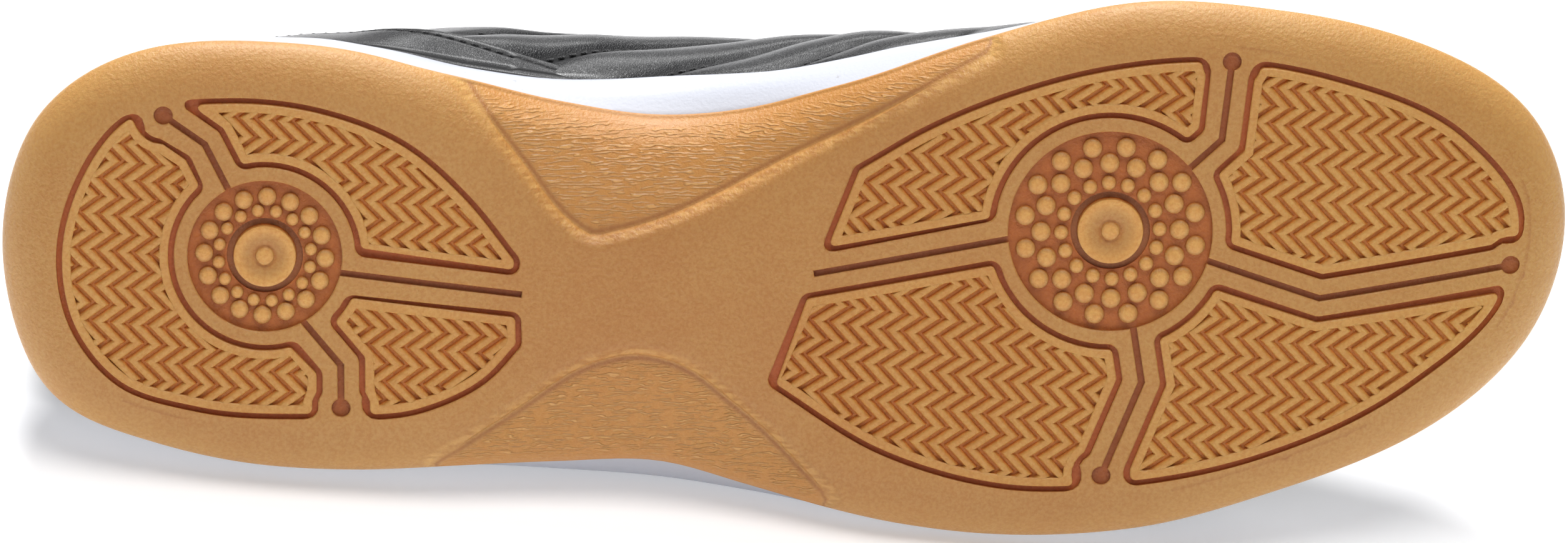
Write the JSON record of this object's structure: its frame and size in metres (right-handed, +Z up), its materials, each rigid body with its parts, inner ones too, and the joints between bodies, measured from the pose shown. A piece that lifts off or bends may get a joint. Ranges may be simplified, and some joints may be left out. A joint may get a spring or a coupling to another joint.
{
  "type": "indoor court shoe",
  "caption": "Left indoor court shoe lying on its outer side: gum outsole with herringbone tread and pivot circles, white midsole, black leather upper, laced.",
  "frame": {"origin": "on the floor under the middle of the lying shoe", "axes": "+X from heel to toe, +Y from sole to collar, +Z up, from the shoe's outer to its inner side"},
  "size_m": [0.289, 0.1116, 0.1014],
  "materials": {
    "gum_rubber": "honey-coloured translucent gum, satin",
    "white_foam": "white moulded foam, faintly blue, scuffed",
    "footbed_cloth": "black cloth-covered foam",
    "black_leather": "black leather, satin, quilted in channels",
    "tongue_leather": "black padded leather",
    "overlay_leather": "black smooth leather",
    "lace_cloth": "black woven flat lace"
  },
  "bodies": {
    "root": {"outsole": "gum_rubber", "midsole": "white_foam", "insole": "footbed_cloth", "upper": "black_leather", "tongue": "tongue_leather", "eyestay": "overlay_leather", "heel_counter": "overlay_leather", "laces": "lace_cloth"}
  },
  "joints": []
}
